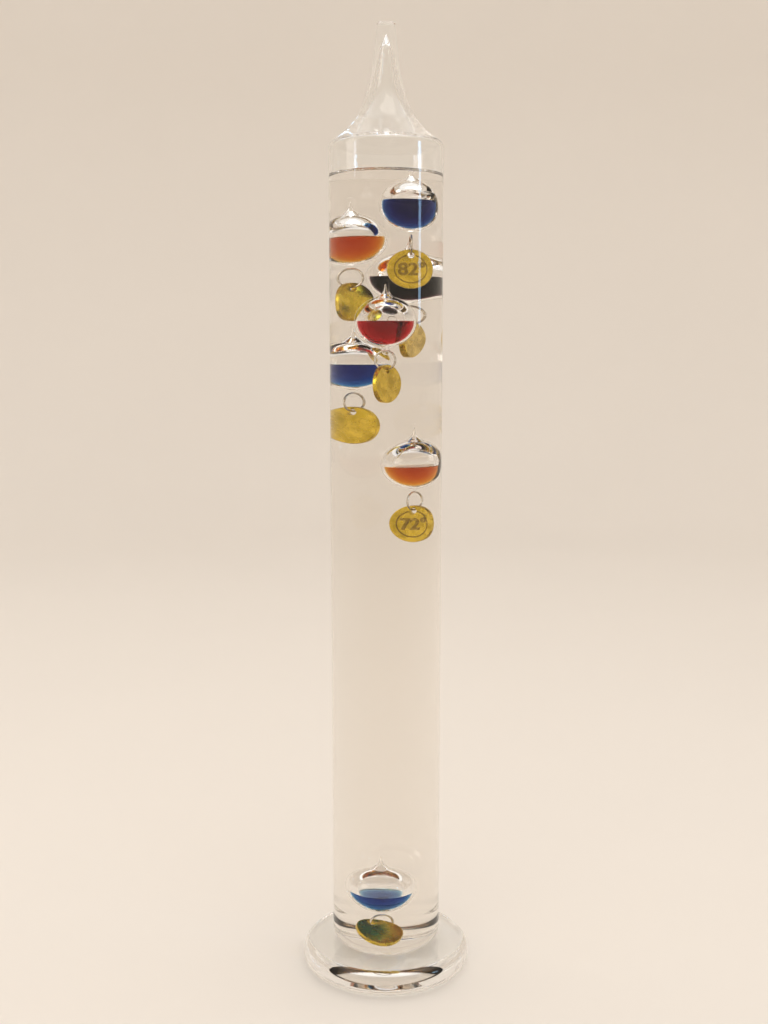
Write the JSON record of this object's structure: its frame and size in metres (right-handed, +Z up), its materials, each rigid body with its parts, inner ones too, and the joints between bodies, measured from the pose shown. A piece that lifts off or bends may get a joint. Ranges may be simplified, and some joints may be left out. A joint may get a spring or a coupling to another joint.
{
  "type": "galileo thermometer",
  "caption": "Free-standing sealed glass column of clear liquid with coloured glass floats that rise and sink to show room temperature on hanging brass tags.",
  "frame": {"origin": "centre of the foot's underside, where the thermometer stands on a table", "axes": "+Z up along the tube to the tip of its spire; -Y towards the viewer who reads the tags; +X to that viewer's right"},
  "size_m": [0.08, 0.08, 0.438],
  "materials": {
    "foot_glass": "polished",
    "glue": "gloss",
    "tube_glass": "polished",
    "fill_liquid": "gloss",
    "float_glass": "polished",
    "ring_wire": "polished",
    "tag_brass": "satin",
    "dye_navy": "gloss",
    "dye_orange": "gloss",
    "dye_plum": "gloss",
    "dye_red": "gloss",
    "dye_blue": "gloss"
  },
  "bodies": {
    "root": {"foot": "foot_glass", "glue_film": "glue", "glass_tube": "tube_glass", "fill_liquid": "fill_liquid"},
    "travel_82": {"dye_82": "dye_navy"},
    "float_82": {"float_82": "float_glass"},
    "ring_82": {"ring_82": "ring_wire"},
    "tag_82": {"tag_82": "tag_brass"},
    "travel_80": {"dye_80": "dye_orange"},
    "float_80": {"float_80": "float_glass"},
    "ring_80": {"ring_80": "ring_wire"},
    "tag_80": {"tag_80": "tag_brass"},
    "travel_78": {"dye_78": "dye_plum"},
    "float_78": {"float_78": "float_glass"},
    "ring_78": {"ring_78": "ring_wire"},
    "tag_78": {"tag_78": "tag_brass"},
    "travel_76": {"dye_76": "dye_red"},
    "float_76": {"float_76": "float_glass"},
    "ring_76": {"ring_76": "ring_wire"},
    "tag_76": {"tag_76": "tag_brass"},
    "travel_74": {"dye_74": "dye_blue"},
    "float_74": {"float_74": "float_glass"},
    "ring_74": {"ring_74": "ring_wire"},
    "tag_74": {"tag_74": "tag_brass"},
    "travel_72": {"dye_72": "dye_orange"},
    "float_72": {"float_72": "float_glass"},
    "ring_72": {"ring_72": "ring_wire"},
    "tag_72": {"tag_72": "tag_brass"},
    "travel_70": {"dye_70": "dye_blue"},
    "float_70": {"float_70": "float_glass"},
    "ring_70": {"ring_70": "ring_wire"},
    "tag_70": {"tag_70": "tag_brass"}
  },
  "joints": [
    {"name": "depth_82", "type": "slide", "parent": "root", "child": "travel_82", "axis": [0, 0, 1], "range_m": [-0.001, 0.0015], "stiffness_N_per_m": 0.5, "springref_m": 0.15031, "deforming": ["fill_liquid"]},
    {"name": "spin_82", "type": "hinge", "parent": "travel_82", "child": "float_82", "pos_m": [0.0086, -0.0066, 0.3585], "axis": [0, 0, 1], "range_deg": [-20, 20]},
    {"name": "ring_swing_82", "type": "hinge", "parent": "float_82", "child": "ring_82", "pos_m": [0.0086, -0.0066, 0.3459], "axis": [0.2079, -0.9781, 0], "range_deg": [-3, 4]},
    {"name": "tag_swing_82", "type": "hinge", "parent": "ring_82", "child": "tag_82", "pos_m": [0.0086, -0.0066, 0.33705], "axis": [0.2079, -0.9781, 0], "range_deg": [-5, 4]},
    {"name": "depth_80", "type": "slide", "parent": "root", "child": "travel_80", "axis": [0, 0, 1], "range_m": [-0.001, 0.002], "stiffness_N_per_m": 0.5, "springref_m": 0.14338, "deforming": ["fill_liquid"]},
    {"name": "spin_80", "type": "hinge", "parent": "travel_80", "child": "float_80", "pos_m": [-0.0104, 0.0036, 0.3444], "axis": [0, 0, 1], "range_deg": [-15, 15]},
    {"name": "ring_swing_80", "type": "hinge", "parent": "float_80", "child": "ring_80", "pos_m": [-0.0104, 0.0036, 0.3318], "axis": [0.809, -0.5878, 0], "range_deg": [-8, 3]},
    {"name": "tag_swing_80", "type": "hinge", "parent": "ring_80", "child": "tag_80", "pos_m": [-0.0104, 0.0036, 0.32295], "axis": [0.6157, -0.788, 0], "range_deg": [-10, 5]},
    {"name": "depth_78", "type": "slide", "parent": "root", "child": "travel_78", "axis": [0, 0, 1], "range_m": [-0.001, 0.001], "stiffness_N_per_m": 0.5, "springref_m": 0.13916, "deforming": ["fill_liquid"]},
    {"name": "spin_78", "type": "hinge", "parent": "travel_78", "child": "float_78", "pos_m": [0.0058, 0.0114, 0.328], "axis": [0, 0, 1], "range_deg": [-10, 10]},
    {"name": "ring_swing_78", "type": "hinge", "parent": "float_78", "child": "ring_78", "pos_m": [0.0058, 0.0114, 0.3154], "axis": [0.9903, -0.1392, 0], "range_deg": [-2, 6]},
    {"name": "tag_swing_78", "type": "hinge", "parent": "ring_78", "child": "tag_78", "pos_m": [0.0058, 0.0114, 0.30655], "axis": [0.9903, -0.1392, 0], "range_deg": [-5, 8]},
    {"name": "depth_76", "type": "slide", "parent": "root", "child": "travel_76", "axis": [0, 0, 1], "range_m": [-0.002, 0.001], "stiffness_N_per_m": 0.5, "springref_m": 0.13916, "deforming": ["fill_liquid"]},
    {"name": "spin_76", "type": "hinge", "parent": "travel_76", "child": "float_76", "pos_m": [-0.0002, -0.0076, 0.308], "axis": [0, 0, 1], "range_deg": [-15, 15]},
    {"name": "ring_swing_76", "type": "hinge", "parent": "float_76", "child": "ring_76", "pos_m": [-0.0002, -0.0076, 0.2954], "axis": [0.866, -0.5, 0], "range_deg": [-8, 8]},
    {"name": "tag_swing_76", "type": "hinge", "parent": "ring_76", "child": "tag_76", "pos_m": [-0.0002, -0.0076, 0.28655], "axis": [0.866, -0.5, 0], "range_deg": [-10, 10]},
    {"name": "depth_74", "type": "slide", "parent": "root", "child": "travel_74", "axis": [0, 0, 1], "range_m": [-0.034, 0.001], "stiffness_N_per_m": 0.5, "springref_m": 0.13916, "deforming": ["fill_liquid"]},
    {"name": "spin_74", "type": "hinge", "parent": "travel_74", "child": "float_74", "pos_m": [-0.009, 0.0078, 0.2887], "axis": [0, 0, 1], "continuous": true},
    {"name": "ring_swing_74", "type": "hinge", "parent": "float_74", "child": "ring_74", "pos_m": [-0.009, 0.0078, 0.2761], "axis": [-0.788, -0.6157, 0], "range_deg": [-8, 7]},
    {"name": "tag_swing_74", "type": "hinge", "parent": "ring_74", "child": "tag_74", "pos_m": [-0.009, 0.0078, 0.26725], "axis": [-0.6157, -0.788, 0], "range_deg": [-10, 7]},
    {"name": "depth_72", "type": "slide", "parent": "root", "child": "travel_72", "axis": [0, 0, 1], "range_m": [-0.147, 0.017], "stiffness_N_per_m": 0.5, "springref_m": 0.13215, "deforming": ["fill_liquid"]},
    {"name": "spin_72", "type": "hinge", "parent": "travel_72", "child": "float_72", "pos_m": [0.0093, -0.0015, 0.244], "axis": [0, 0, 1], "continuous": true},
    {"name": "ring_swing_72", "type": "hinge", "parent": "float_72", "child": "ring_72", "pos_m": [0.0093, -0.0015, 0.2314], "axis": [-0.4695, -0.8829, 0], "range_deg": [-10, 10]},
    {"name": "tag_swing_72", "type": "hinge", "parent": "ring_72", "child": "tag_72", "pos_m": [0.0093, -0.0015, 0.22255], "axis": [-0.309, -0.9511, 0], "range_deg": [-12, 12]},
    {"name": "depth_70", "type": "slide", "parent": "root", "child": "travel_70", "axis": [0, 0, 1], "range_m": [0, 0.14], "deforming": ["fill_liquid"]},
    {"name": "spin_70", "type": "hinge", "parent": "travel_70", "child": "float_70", "pos_m": [-0.0016, 0.001, 0.0392], "axis": [0, 0, 1], "continuous": true},
    {"name": "ring_swing_70", "type": "hinge", "parent": "float_70", "child": "ring_70", "pos_m": [-0.0016, 0.001, 0.0266], "axis": [0.866, 0.5, 0], "range_deg": [-4, 0]},
    {"name": "tag_swing_70", "type": "hinge", "parent": "ring_70", "child": "tag_70", "pos_m": [-0.00499, -0.00096, 0.0223], "axis": [-0.2347, 0.4066, -0.8829], "range_deg": [-8, 8]}
  ]
}
